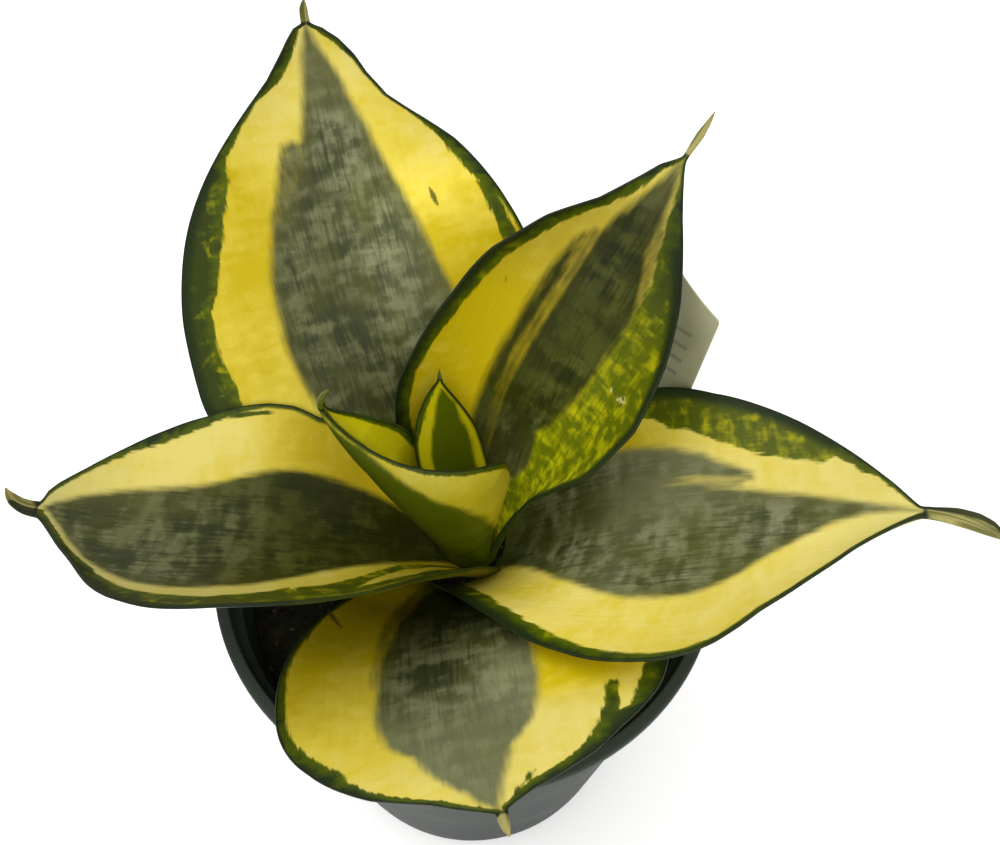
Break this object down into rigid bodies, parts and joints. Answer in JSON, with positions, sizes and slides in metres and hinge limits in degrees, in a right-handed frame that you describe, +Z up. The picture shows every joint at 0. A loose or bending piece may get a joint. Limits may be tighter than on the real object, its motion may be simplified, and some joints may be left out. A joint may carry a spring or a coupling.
{
  "type": "potted sunny star snake plant",
  "caption": "Rosette of broad, pointed, yellow and grey-green banded leaves growing in a tapered round nursery pot, with a blank plant label standing in the soil.",
  "frame": {"origin": "centre of the pot's base, on the surface that the pot stands on", "axes": "+Z up along the pot's axis; the plant's front leaf points to -Y and the longest leaf spread runs along X"},
  "size_m": [0.1878, 0.1419, 0.1666],
  "materials": {
    "pot_plastic": "satin",
    "potting_mix": "matte",
    "rhizome_skin": "matte",
    "leaf_skin": "satin",
    "label_card": "satin"
  },
  "bodies": {
    "root": {"pot": "pot_plastic", "soil": "potting_mix", "rhizome": "rhizome_skin", "leaf_back_left": "leaf_skin", "leaf_back_right": "leaf_skin", "leaf_left": "leaf_skin", "leaf_right": "leaf_skin", "leaf_front": "leaf_skin", "leaf_cup": "leaf_skin", "leaf_spear": "leaf_skin", "plant_label": "label_card"}
  },
  "joints": []
}
